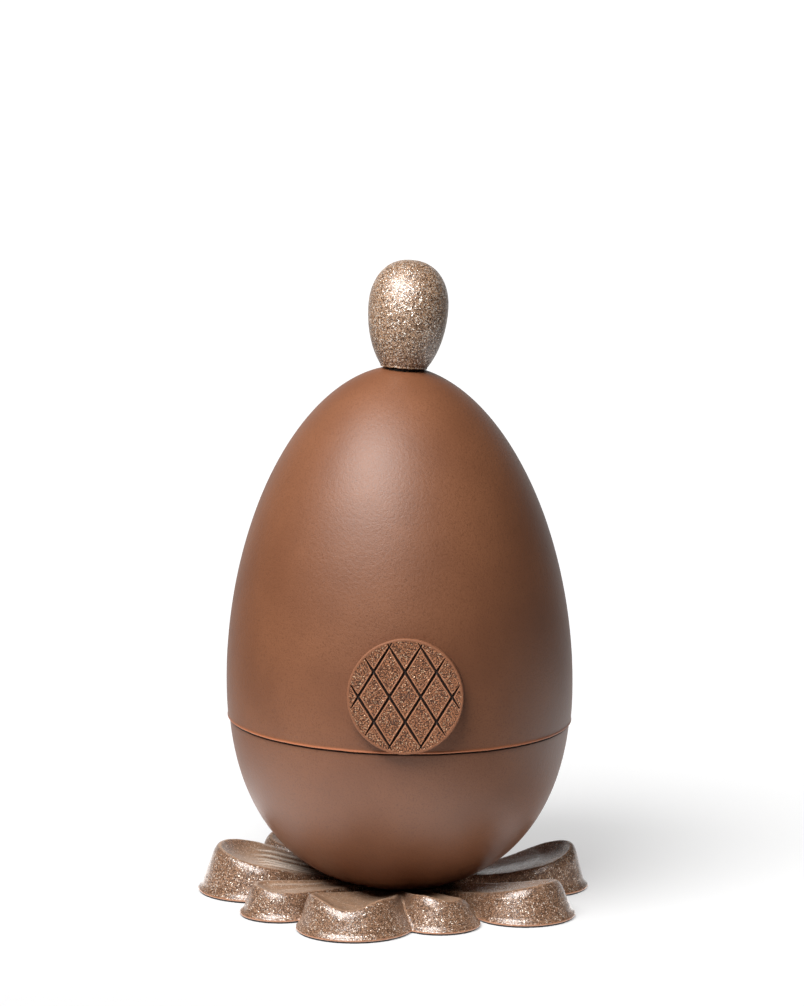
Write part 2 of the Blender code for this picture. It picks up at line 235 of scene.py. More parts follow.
def flakeNormal(tree, colour, tilt):
    # turns the surface's direction by a random amount in each flake
    centred = addNode(tree, "ShaderNodeVectorMath", operation="SUBTRACT")
    centred.inputs[1].default_value = (0.5, 0.5, 0.5)
    tree.links.new(colour, centred.inputs[0])
    scaled = addNode(tree, "ShaderNodeVectorMath", operation="SCALE")
    tree.links.new(centred.outputs["Vector"], scaled.inputs[0])
    if isinstance(tilt, float):
        scaled.inputs["Scale"].default_value = tilt
    else:
        tree.links.new(tilt, scaled.inputs["Scale"])
    total = addNode(tree, "ShaderNodeVectorMath", operation="ADD")
    tree.links.new(scaled.outputs["Vector"], total.inputs[0])
    tree.links.new(addNode(tree, "ShaderNodeNewGeometry").outputs["Normal"], total.inputs[1])
    unit = addNode(tree, "ShaderNodeVectorMath", operation="NORMALIZE")
    tree.links.new(total.outputs["Vector"], unit.inputs[0])
    return unit.outputs["Vector"]


# milk chocolate of the egg's two halves

milkChocolate = {
    "colour": (0.152, 0.0550, 0.0232),
    "paler": (0.182, 0.0685, 0.0295),
    "pitColour": (0.112, 0.040, 0.0165),
    "lipHighlightColour": (0.40, 0.130, 0.052),
    "gapShadeColour": (0.020, 0.009, 0.005),
    "mottleSize": 24 * mm,
    "pitSize": 0.45 * mm,
    "pitDepth": 0.050 * mm,
    "pitDarkness": 0.8,
    "dimpleSize": 1.15 * mm,
    "dimpleDepth": 0.070 * mm,
    "roughness": 0.50,
    "roughnessSpread": 0.04,
    "ior": 1.5,
}


def makeMilkChocolate():
    look = milkChocolate
    material, tree, shader = newMaterial("milkChocolate")
    place = objectPlace(tree)
    mottle = remap(tree, noiseField(tree, place, look["mottleSize"], 3.0), 0.35, 0.65)
    body = mixColours(tree, mottle, look["colour"], look["paler"])
    pits = noiseField(tree, place, look["pitSize"], 2.0)
    inPit = remap(tree, pits, 0.50, 0.28, 0.0, look["pitDarkness"])
    body = mixColours(tree, inPit, body, look["pitColour"])
    # painted highlight: the lid's lip bead is coloured paler where it catches the light
    body = mixColours(tree, attributeValue(tree, "lipHighlight"), body, look["lipHighlightColour"])
    # painted shade: the seam's gap and the faces inside it are coloured near black
    body = mixColours(tree, attributeValue(tree, "gapShade"), body, look["gapShadeColour"])
    tree.links.new(body, shader.inputs["Base Color"])
    smoothest = look["roughness"] - look["roughnessSpread"]
    roughest = look["roughness"] + look["roughnessSpread"]
    tree.links.new(remap(tree, pits, 0.3, 0.7, smoothest, roughest), shader.inputs["Roughness"])
    dimples = noiseField(tree, place, look["dimpleSize"], 2.0)
    leather = addBump(tree, dimples, look["dimpleDepth"], 1.0)
    tree.links.new(addBump(tree, pits, look["pitDepth"], 1.0, leather), shader.inputs["Normal"])
    shader.inputs["IOR"].default_value = look["ior"]
    return material


# fine shimmer dust over chocolate, on the petals and the knob. dark and light are the grains'
# colours, flakes are the bright ones. tilt turns grains and flakes away from the surface

petalDust = {
    "dark": (0.055, 0.024, 0.012),
    "light": (0.318, 0.178, 0.104),
    "flake": (0.88, 0.77, 0.66),
    # the trough colour is painted light for up-facing troughs
    "trough": (0.540, 0.345, 0.220),
    # the ridge colour is a painted highlight on the crests of the trough's streaks
    "ridge": (0.86, 0.76, 0.65),
    "edge": (0.33, 0.140, 0.066),
    # the foot colour is painted shade, the contact shadow along the flange's bottom
    "foot": (0.006, 0.003, 0.002),
    "edgeHeight": 1.02 * mm,
    "edgeBlend": 0.12 * mm,
    "contactShadeHeight": 0.60 * mm,
    "contactShadeBlend": 0.05 * mm,
    "contactShadeRoughness": 0.9,
    "troughTint": 0.42,
    "smoothTilt": 0.08,
    "smoothGloss": 0.08,
    "grainSize": 0.23 * mm,
    "clumpSize": 1.1 * mm,
    "clumping": 0.06,
    "flakeShare": 0.05,
    "groundTilt": 0.26,
    "flakeTilt": 0.45,
    "shine": 0.05,
    "flakeShine": 0.5,
    "roughness": 0.30,
    "flakeRoughness": 0.40,
    "grainDepth": 0.05 * mm,
    "grainStrength": 0.4,
    "specular": 1.0,
}
knobDust = {
    "dark": (0.050, 0.023, 0.011),
    "light": (0.415, 0.252, 0.152),
    "flake": (0.90, 0.82, 0.73),
    # the neck colour is painted shade under the knob
    "neckShade": (0.006, 0.003, 0.002),
    "neckShadeRoughness": 0.95,
    "grainSize": 0.24 * mm,
    "clumpSize": 1.2 * mm,
    "clumping": 0.06,
    "flakeShare": 0.11,
    "groundTilt": 0.40,
    "flakeTilt": 0.30,
    "shine": 0.08,
    "flakeShine": 0.5,
    "roughness": 0.36,
    "flakeRoughness": 0.40,
    "grainDepth": 0.05 * mm,
    "grainStrength": 0.4,
    "specular": 1.0,
}


def makeShimmer(name, look):
    material, tree, shader = newMaterial(name)
    place = objectPlace(tree)
    distance, colour = cellField(tree, place, look["grainSize"])
    draw = addNode(tree, "ShaderNodeTexWhiteNoise", noise_dimensions="3D")
    tree.links.new(colour, draw.inputs["Vector"])
    split = addNode(tree, "ShaderNodeSeparateColor")
    tree.links.new(draw.outputs["Color"], split.inputs["Color"])
    clump = remap(tree, noiseField(tree, place, look["clumpSize"], 1.0), 0.35, 0.65,
                  -look["clumping"], look["clumping"])
    # each grain draws from 0 to 1, and the top flakeShare of the draws are flakes
    chosen = maths(tree, "ADD", split.outputs["Red"], clump)
    flake = remap(tree, chosen, 0.98 - look["flakeShare"], 1.02 - look["flakeShare"])
    grain = maths(tree, "ADD", split.outputs["Green"], clump)
    body = mixColours(tree, remap(tree, grain, 0.25, 0.80), look["dark"], look["light"])
    groundTilt = look["groundTilt"]
    roughness = remap(tree, flake, 0.0, 1.0, look["roughness"], look["flakeRoughness"])
    if "trough" in look:
        # painted light: where the troughs face up their colour turns paler, standing in for the
        # light and sheen they catch, and the smooth ones have few flakes
        top = upwardShare(tree, 0.84, 0.96)
        smooth = maths(tree, "MULTIPLY", top, attributeValue(tree, "smooth"))
        flake = maths(tree, "MULTIPLY", flake, remap(tree, smooth, 0.0, 1.0, 1.0, 0.2))
        groundTilt = remap(tree, smooth, 0.0, 1.0, look["groundTilt"], look["smoothTilt"])
        gloss = maths(tree, "MULTIPLY", smooth, look["smoothGloss"])
        roughness = maths(tree, "SUBTRACT", roughness, gloss)
        # painted light: the share of the paler trough colour where the surface faces up
        inTrough = maths(tree, "MULTIPLY", top, look["troughTint"])
        body = mixColours(tree, inTrough, body, look["trough"])
        # painted highlight on the crests of the trough's streaks
        body = mixColours(tree, attributeValue(tree, "streak"), body, look["ridge"])
    body = mixColours(tree, flake, body, look["flake"])
    if "edge" in look:
        # a bare edge round the flange, and painted shade: a near-black line where it stands on the
        # table, for its contact shadow
        middle, blend = look["edgeHeight"], look["edgeBlend"]
        edge = heightShare(tree, place, middle + blend, middle - blend)
        middle, blend = look["contactShadeHeight"], look["contactShadeBlend"]
        foot = heightShare(tree, place, middle + blend, middle - blend)
        body = mixColours(tree, edge, body, look["edge"])
        body = mixColours(tree, foot, body, look["foot"])
        flake = maths(tree, "MULTIPLY", flake, remap(tree, edge, 0.0, 1.0, 1.0, 0.1))
        dull = maths(tree, "MULTIPLY", foot, look["contactShadeRoughness"])
        roughness = maths(tree, "MAXIMUM", roughness, dull)
    if "neckShade" in look:
        # painted shade: the join under the knob is coloured near black for the shadow in the gap
        # there
        neckShade = attributeValue(tree, "neckShade")
        body = mixColours(tree, neckShade, body, look["neckShade"])
        flake = maths(tree, "MULTIPLY", flake, remap(tree, neckShade, 0.0, 1.0, 1.0, 0.0))
        dull = maths(tree, "MULTIPLY", neckShade, look["neckShadeRoughness"])
        roughness = maths(tree, "MAXIMUM", roughness, dull)
    tree.links.new(body, shader.inputs["Base Color"])
    shine = remap(tree, flake, 0.0, 1.0, look["shine"], look["flakeShine"])
    tree.links.new(shine, shader.inputs["Metallic"])
    tree.links.new(roughness, shader.inputs["Roughness"])
    shader.inputs["Specular IOR Level"].default_value = look["specular"]
    spread = maths(tree, "ADD", groundTilt, maths(tree, "MULTIPLY", flake, look["flakeTilt"]))
    normal = flakeNormal(tree, colour, spread)
    tree.links.new(addBump(tree, distance, look["grainDepth"], look["grainStrength"], normal),
                   shader.inputs["Normal"])
    return material


# the medallion's chocolate, plain on its lines and border, dusted gold in its fields, with painted
# shade in its grooves and in the hollows between the field's grains, and a painted highlight on the
# burrs beside the grooves

goldDust = {
    "plain": (0.215, 0.084, 0.040),
    # the burr colour is a painted highlight, the pit and groove colours painted shade
    "burrAndHighlight": (0.430, 0.190, 0.100),
    "pitShade": (0.070, 0.026, 0.012),
    "crown": (0.345, 0.138, 0.062),
    "flake": (0.80, 0.54, 0.35),
    "grooveShade": (0.014, 0.006, 0.004),
    "flakeSize": 0.40 * mm,
    "flakeShare": 0.13,
    "flakeShine": 0.6,
    "flakeTilt": 0.5,
    "roughness": 0.62,
    "flakeRoughness": 0.38,
    "grainDepth": 0.05 * mm,
    "grainStrength": 0.3,
    "specular": 0.3,
}


def makeGoldDust():
    look = goldDust
    material, tree, shader = newMaterial("goldDust")
    place = objectPlace(tree)
    distance, colour = cellField(tree, place, look["flakeSize"])
    split = addNode(tree, "ShaderNodeSeparateColor")
    tree.links.new(colour, split.inputs["Color"])
    field = attributeValue(tree, "field")
    crown = maths(tree, "MULTIPLY", remap(tree, distance, 0.62, 0.34),
                  remap(tree, attributeValue(tree, "crown"), 0.0, 1.0, 0.45, 1.0))
    flake = remap(tree, split.outputs["Red"], 0.98 - look["flakeShare"], 1.02 - look["flakeShare"])
    flake = maths(tree, "MULTIPLY", maths(tree, "MULTIPLY", flake, field), crown)
    # painted shade: the field darkens into the hollows between its grains
    grained = mixColours(tree, crown, look["pitShade"], look["crown"])
    body = mixColours(tree, field, look["plain"], grained)
    body = mixColours(tree, flake, body, look["flake"])
    # painted highlight: the burrs beside the grooves are coloured paler
    body = mixColours(tree, attributeValue(tree, "burrAndHighlight"), body, look["burrAndHighlight"])
    # painted shade: the grooves are coloured near black
    body = mixColours(tree, attributeValue(tree, "grooveShade"), body, look["grooveShade"])
    tree.links.new(body, shader.inputs["Base Color"])
    tree.links.new(remap(tree, flake, 0.0, 1.0, 0.0, look["flakeShine"]), shader.inputs["Metallic"])
    tree.links.new(remap(tree, flake, 0.0, 1.0, look["roughness"], look["flakeRoughness"]),
                   shader.inputs["Roughness"])
    shader.inputs["Specular IOR Level"].default_value = look["specular"]
    normal = flakeNormal(tree, colour, maths(tree, "MULTIPLY", field, look["flakeTilt"]))
    tree.links.new(addBump(tree, distance, look["grainDepth"], look["grainStrength"], normal),
                   shader.inputs["Normal"])
    return material


# the egg: a shut lid and cup turned from one oval

egg = {
    "radius": 54.46 * mm,
    "widestHeight": 68.7 * mm,
    "upperReach": 99.86 * mm,
    "upperFullness": 1.915,
    "lowerReach": 67.0 * mm,
    "lowerFullness": 2.278,
    "shift": 0.3 * mm,
    "lean": math.radians(-0.3),
    "lidOverhang": 0.42 * mm,
    "seamHeight": 56.3 * mm,
    "seamTilt": math.radians(0.97),
    "seamGap": 0.3 * mm,
    "seamUneven": 0.10 * mm,
    "columns": 288,
    "lidRows": 150,
    "cupRows": 84,
    "uneven": 0.05 * mm,
    # depth below the lip's top and step outward, in mm, and the share of the lip's painted
    # highlight, a paler colour where its bead catches the light
    "lidLip": ((0.0, 0.0, 0.0), (0.25, 0.03, 0.15), (0.45, 0.10, 0.5), (0.62, 0.17, 0.85),
               (0.8, 0.19, 1.0), (0.95, 0.14, 1.0), (1.03, 0.04, 0.8), (1.06, -0.12, 0.3)),
    # the same for the cup, with the share of the painted shade in the seam's gap
    "cupLip": ((0.0, -0.32, 1.0), (0.08, -0.16, 1.0), (0.24, -0.07, 1.0), (0.36, -0.02, 0.5),
               (0.5, 0.0, 0.0)),
    "coverRings": (0.97, 0.6, 0.25),
    "lipHeight": 1.06 * mm,
}
eggFrame = Matrix.Translation((egg["shift"], 0.0, 0.0)) @ Matrix.Rotation(egg["lean"], 4, "Y")


def eggRadiusAt(height, growth=0.0):
    offset = np.asarray(height) - egg["widestHeight"]
    above = offset > 0.0
    reach = np.where(above, egg["upperReach"], egg["lowerReach"]) + growth
    fullness = np.where(above, egg["upperFullness"], egg["lowerFullness"])
    share = np.clip(np.abs(offset) / reach, 0.0, 1.0)
    return (egg["radius"] + growth) * (1.0 - share ** fullness) ** (1.0 / fullness)


def eggFloorAt(radius, growth=0.0):
    # height of the egg's lower side over a ring of this radius
    share = np.clip(np.asarray(radius) / (egg["radius"] + growth), 0.0, 1.0)
    fall = (1.0 - share ** egg["lowerFullness"]) ** (1.0 / egg["lowerFullness"])
    return egg["widestHeight"] - (egg["lowerReach"] + growth) * fall


def seamHeights(turns):
    # the seam in the egg's own frame: a tilted plane, a little uneven
    slope = math.tan(egg["seamTilt"] - egg["lean"])
    ring = eggRadiusAt(egg["seamHeight"])
    ragged = ringNoise(turns, 7.0, 3.1) + 0.4 * ringNoise(turns, 31.0, 5.7)
    return egg["seamHeight"] - ring * np.cos(turns) * slope + egg["seamUneven"] * ragged


def eggPoints(rings, turns, seed):
    # rings of (radius, height) arrays to points, with slow unevenness over the shell
    points = np.concatenate([ringPoints(radius, height, turns) for radius, height in rings])
    swell = waves(points, 26 * mm, seed) + 0.35 * waves(points, 9 * mm, seed + 4)
    fromAxis = np.hypot(points[:, 0], points[:, 1])
    grown = 1.0 + egg["uneven"] * swell / egg["radius"] * np.clip(fromAxis / (10 * mm), 0.0, 1.0)
    points[:, 0] *= grown
    points[:, 1] *= grown
    return placed(points, np.array(eggFrame))


def makeLid(material):
    columns = egg["columns"]
    turns = ringTurns(columns)
    overhang = egg["lidOverhang"]
    seam = seamHeights(turns) + 0.5 * egg["seamGap"]
    lipTop = seam + egg["lipHeight"]
    top = egg["widestHeight"] + egg["upperReach"] + overhang
    rings = []
    for row in range(1, egg["lidRows"]):
        height = lipTop + (top - lipTop) * math.cos(0.5 * math.pi * row / egg["lidRows"])
        rings.append((eggRadiusAt(height, overhang), height))
    wall = [0.0] * len(rings)
    for depth, outward, tint in egg["lidLip"]:
        height = lipTop - depth * mm
        rings.append((eggRadiusAt(height, overhang) + outward * mm, height))
    for share in egg["coverRings"]:
        rings.append((eggRadiusAt(seam, overhang) * share, seam))
    pole = eggFrame @ Vector((0.0, 0.0, top))
    under = eggFrame @ Vector((0.0, 0.0, float(np.mean(seam))))
    points = np.vstack([eggPoints(rings, turns, 11), np.array(pole), np.array(under)])
    lid = makePiece("lidShell", points, closedFaces(len(rings), columns), material)
    tints = [tint for depth, outward, tint in egg["lidLip"]]
    cover = len(egg["coverRings"])
    # the lip's rings take the painted highlight
    addAttribute(lid.data, "lipHighlight", ringValues(wall + tints + [0.0] * cover, columns))
    # the faces inside the seam take its painted shade
    addAttribute(lid.data, "gapShade", ringValues(wall + [0.0] * len(tints) + [1.0] * cover, columns))
    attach(lid, "root")
    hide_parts("egg_lid")
    print("lid:", len(lid.data.polygons), "faces")
    return lid


def makeCup(material):
    columns = egg["columns"]
    turns = ringTurns(columns)
    seam = seamHeights(turns) - 0.5 * egg["seamGap"]
    rings = []
    for share in egg["coverRings"][::-1]:
        rings.append((eggRadiusAt(seam) * share, seam))
    for depth, outward, tint in egg["cupLip"]:
        height = seam - depth * mm
        rings.append((eggRadiusAt(height) + outward * mm, height))
    darkness = [1.0] * len(egg["coverRings"]) + [tint for depth, outward, tint in egg["cupLip"]]
    wallTop = seam - egg["cupLip"][-1][0] * mm
    bottom = egg["widestHeight"] - egg["lowerReach"]
    for row in range(1, egg["cupRows"]):
        share = 1.0 - math.sin(0.5 * math.pi * row / egg["cupRows"])
        height = bottom + (wallTop - bottom) * share
        rings.append((eggRadiusAt(height), height))
        darkness.append(0.0)
    cover = eggFrame @ Vector((0.0, 0.0, float(np.mean(seam))))
    pole = eggFrame @ Vector((0.0, 0.0, bottom))
    points = np.vstack([eggPoints(rings, turns, 23), np.array(cover), np.array(pole)])
    cup = makePiece("cupShell", points, closedFaces(len(rings), columns), material)
    addAttribute(cup.data, "lipHighlight", np.zeros(len(points)))
    # the cup's rim under the seam takes the painted shade of the gap
    addAttribute(cup.data, "gapShade", ringValues(darkness, columns))
    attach(cup, "root")
    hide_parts("egg_cup")
    print("cup:", len(cup.data.polygons), "faces")
    return cup


def depthToEgg(origins, direction, growth, farthest):
    # how far each point goes along a direction before it meets the egg, grown a little
    inverse = np.array(eggFrame.inverted())
    local = placed(origins, inverse)
    along = np.array(direction) @ inverse[:3, :3].T
    near = np.zeros(len(local))
    far = np.full(len(local), farthest)
    for halving in range(30):
        middle = 0.5 * (near + far)
        spot = local + middle[:, None] * along
        inside = np.hypot(spot[:, 0], spot[:, 1]) < eggRadiusAt(spot[:, 2], growth)
        far = np.where(inside, middle, far)
        near = np.where(inside, near, middle)
    return near


def backToEgg(rim, middle, direction, size):
    # rings from a rim down to the lid and inward across it, and the middle point there
    growth = egg["lidOverhang"] + size["eggGap"]
    depth = depthToEgg(rim, direction, growth, size["farthest"])
    rings = [rim + direction * (depth * share)[:, None] for share in size["wallSteps"]]
    for share in size["backSteps"]:
        flat = middle + (rim - middle) * share
        depth = depthToEgg(flat, direction, growth, size["farthest"])
        rings.append(flat + direction * depth[:, None])
    pole = middle + direction * depthToEgg(middle[None, :], direction, growth, size["farthest"])[0]
    return rings, pole


# the round medallion, cut with a lattice of grooves

medallion = {
    "radius": 18.0 * mm,
    "rise": 1.7 * mm,
    "height": 74.9 * mm,
    "azimuth": math.radians(-88.24),
    "turn": math.radians(-4.0),
    "lift": math.radians(4.0),
    "edgeRound": 0.35 * mm,
    "edgeUneven": 0.10 * mm,
    "border": 0.6 * mm,
    "borderBlend": 0.25 * mm,
    "grooveReach": 17.1 * mm,
    "grooveHalfWidth": 0.44 * mm,
    "grooveDepth": 0.85 * mm,
    "grooveTaper": 4.0 * mm,
    "grooveUneven": 0.16,
    # the burr stands beside a groove, burrPlace half widths from its middle
    "burrPlace": 1.35,
    "burrWidth": 0.17 * mm,
    "burrHeight": 0.10 * mm,
    "bandWidth": 0.85 * mm,
    "bandBlend": 0.20 * mm,
    "angles": (math.radians(58.0), math.radians(-58.0)),
    "offsets": (-12.3 * mm, -4.1 * mm, 4.1 * mm, 12.3 * mm),
    "fieldSink": 0.10 * mm,
    "grainSize": 0.46 * mm,
    "grainReach": 0.62,
    "grainHeight": 0.15 * mm,
    "uneven": 0.02 * mm,
    "eggGap": 0.2 * mm,
    "farthest": 14 * mm,
    "wallSteps": (0.35, 0.7, 1.0),
    "backSteps": (0.75, 0.45, 0.2),
    "columns": 576,
    "rows": 92,
}


def lineDistances(x, y):
    # distance to the nearest groove line, ended at the grooves' reach
    nearest = np.full(x.shape, 1.0)
    for angle in medallion["angles"]:
        along = x * math.cos(angle) + y * math.sin(angle)
        across = -x * math.sin(angle) + y * math.cos(angle)
        for offset in medallion["offsets"]:
            halfLength = math.sqrt(medallion["grooveReach"] ** 2 - offset ** 2)
            past = np.maximum(np.abs(along) - halfLength, 0.0)
            toEnd = (halfLength - np.abs(along)) / medallion["grooveTaper"]
            taper = np.clip(0.4 + 0.6 * toEnd, 0.4, 1.0)
            nearest = np.minimum(nearest, np.hypot(across - offset, past) / taper)
    return nearest


def makeMedallion(material):
    size = medallion
    front = eggRadiusAt(size["height"], egg["lidOverhang"]) + size["rise"]
    azimuth = size["azimuth"]
    spot = Vector((front * math.cos(azimuth), front * math.sin(azimuth), size["height"]))
    facing = azimuth + size["turn"] + 0.5 * math.pi
    turned = Euler((0.5 * math.pi - size["lift"], 0.0, facing)).to_matrix().to_4x4()
    place = np.array(eggFrame @ Matrix.Translation(spot) @ turned)
    columns, rows = size["columns"], size["rows"]
    turns = ringTurns(columns)
    ragged = ringNoise(turns, 5.0, 9.0) + 0.5 * ringNoise(turns, 26.0, 2.0)
    flatEdge = size["radius"] + size["edgeUneven"] * ragged - size["edgeRound"]
    reaches = [flatEdge * row / rows for row in range(1, rows + 1)]
    face = np.concatenate([ringPoints(reach, 0.0, turns) for reach in reaches])
    x, y = face[:, 0], face[:, 1]
    fromMiddle = np.hypot(x, y)
    lines = lineDistances(x, y) * (1.0 + size["grooveUneven"] * waves(face, 3.0 * mm, 37))
    inGroove = lines / size["grooveHalfWidth"]
    # the inside of the grooves, where their painted shade goes
    grooveShade = 1.0 - smoothStep(0.75, 1.0, inGroove)
    borderStart = size["radius"] - size["border"]
    inBorder = smoothStep(borderStart - size["borderBlend"], borderStart, fromMiddle)
    onBand = 1.0 - smoothStep(size["bandWidth"] - size["bandBlend"], size["bandWidth"], lines)
    field = (1.0 - inBorder) * (1.0 - onBand)
    grain = 1.0 - (pebbles(x, y, size["grainSize"], 5) / size["grainReach"]) ** 2
    grain = np.clip(grain, -0.4, 1.0)
    burrMiddle = size["burrPlace"] * size["grooveHalfWidth"]
    # the burr is raised and also carries the painted highlight
    burrAndHighlight = np.exp(-((lines - burrMiddle) / size["burrWidth"]) ** 2)
    height = -size["fieldSink"] * field + size["grainHeight"] * grain * field
    height += size["uneven"] * waves(face, 2.2 * mm, 31)
    height += size["burrHeight"] * burrAndHighlight
    height -= size["grooveDepth"] * np.clip(1.0 - inGroove ** 2, 0.0, 1.0)
    face[:, 2] = height
    parts = [face]
    for angle in (math.radians(30.0), math.radians(60.0), math.radians(90.0)):
        reach = flatEdge + size["edgeRound"] * math.sin(angle)
        parts.append(ringPoints(reach, -size["edgeRound"] * (1.0 - math.cos(angle)), turns))
    points = placed(np.concatenate(parts), place)
    middle, inward = place[:3, 3], -place[:3, 2]
    back, backPole = backToEgg(points[-columns:], middle, inward, size)
    points = np.concatenate([points] + back)
    faces = closedFaces(len(points) // columns, columns)
    points = np.vstack([points, middle, backPole])
    disc = makePiece("medallionDisc", points, faces, material)
    spare = np.zeros(len(points) - len(x))
    crown = np.clip(0.5 + 0.7 * grain, 0.0, 1.0)
    for name, values in (("field", field), ("crown", crown), ("grooveShade", grooveShade),
                         ("burrAndHighlight", 0.8 * burrAndHighlight * (1.0 - inBorder))):
        addAttribute(disc.data, name, np.concatenate([values, spare]))
    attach(disc, "root")
    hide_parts("medallion")
    print("medallion:", len(disc.data.polygons), "faces")
    return disc


# the knob: a small egg stood on its cut end

knob = {
    "radius": 12.6 * mm,
    "upperReach": 15.3 * mm,
    "upperFullness": 2.22,
    "lowerReach": 22.8 * mm,
    "lowerFullness": 1.92,
    "cutDepth": 18.6 * mm,
    "footRadius": 6.1 * mm,
    "centre": Vector((2.68, 1.93, 187.04)) * mm,
    "leanRight": math.radians(4.5),
    "leanBack": math.radians(6.0),
    "rimHeight": 0.5 * mm,
    "rimUneven": 0.22 * mm,
    # in mm, how far the rim goes down from the wall's foot, and outward
    "rim": ((0.18, 0.03), (0.4, 0.02), (0.55, -0.15), (0.58, -0.4)),
    # in mm, how far the foot's rings stand out from its radius, and above the cut
    "foot": ((0.15, 0.1), (0.0, -0.15)),
    "grainSize": 0.5 * mm,
    "finerGrainSize": 0.28 * mm,
    "grainHeight": 0.035 * mm,
    "uneven": 0.06 * mm,
    "eggGap": 0.15 * mm,
    "farthest": 12 * mm,
    "wallSteps": (0.5, 1.0),
    "backSteps": (0.7, 0.35),
    "columns": 256,
    "upperRows": 60,
    "lowerRows": 72,
}


def makeKnob(material):
    size = knob
    columns = size["columns"]
    turns = ringTurns(columns)
    ragged = ringNoise(turns, 4.0, 1.0) + 0.8 * ringNoise(turns, 12.0, 6.0)
    rings = []
    for row in range(1, size["upperRows"]):
        angle = 0.5 * math.pi * row / size["upperRows"]
        power = 2.0 / size["upperFullness"]
        rings.append((size["radius"] * math.sin(angle) ** power,
                      size["upperReach"] * math.cos(angle) ** power))
    wallDepth = size["cutDepth"] - size["rimHeight"]
    fullness = size["lowerFullness"]
    for row in range(size["lowerRows"] + 1):
        depth = wallDepth * math.sin(0.5 * math.pi * row / size["lowerRows"])
        share = depth / size["lowerReach"]
        rings.append((size["radius"] * (1.0 - share ** fullness) ** (1.0 / fullness), -depth))
    bodyRings = len(rings)
    rimRadius = rings[-1][0]
    rimDrop = size["rimUneven"] * ragged
    rimDepth = size["rim"][-1][0]
    for down, outward in size["rim"]:
        rings.append((rimRadius + outward * mm + 0.25 * rimDrop,
                      -wallDepth - down * mm + rimDrop * down / rimDepth))
    for outward, rise in size["foot"]:
        rings.append((size["footRadius"] + outward * mm, -size["cutDepth"] + rise * mm))
    points = np.concatenate([ringPoints(radius, height, turns) for radius, height in rings])
    outward = points * (1.0, 1.0, 0.55)
    outward /= np.linalg.norm(outward, axis=1)[:, None]
    grains = waves(points, size["grainSize"], 41) + 0.6 * waves(points, size["finerGrainSize"], 47)
    grains[bodyRings * columns:] *= 0.3
    relief = size["grainHeight"] * grains + size["uneven"] * waves(points, 9 * mm, 53)
    points += outward * relief[:, None]
    lean = np.array(Euler((-size["leanBack"], size["leanRight"], 0.0)).to_matrix())
    points = points @ lean.T + np.array(size["centre"])
    down = -lean[:, 2]
    foot = points[-columns:]
    back, backPole = backToEgg(foot, foot.mean(axis=0), down, size)
    points = np.concatenate([points] + back)
    total = len(points) // columns
    top = np.array(size["centre"]) - down * size["upperReach"]
    points = np.vstack([points, top, backPole])
    piece = makePiece("knobEgg", points, closedFaces(total, columns), material)
    # the join's rings under the cut take the painted shade
    neckStart = bodyRings + len(size["rim"])
    neckShade = [0.0] * neckStart + [1.0] * (total - neckStart)
    addAttribute(piece.data, "neckShade", ringValues(neckShade, columns, lastMiddle=1.0))
    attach(piece, "root")
    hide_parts("knob")
    print("knob:", len(piece.data.polygons), "faces")
    return piece


# the petal base, one moulding of nine petals round a seat
# petals run anticlockwise from the right, in mm and degrees. azimuth and distance place the
# round end, whose flange has the radius. tip and root are rim heights, climb says how late
# the rim rises, draft is the wall's slope, sideDraft more on the anticlockwise side, dip
# lowers the lip at dipAngle from the tip, tilt raises the anticlockwise side of the rim.
# sink is the trough's depth as a share of the rim's height, streaks the strength of the
# ridges in it, and smooth how much of its dust is fine and even

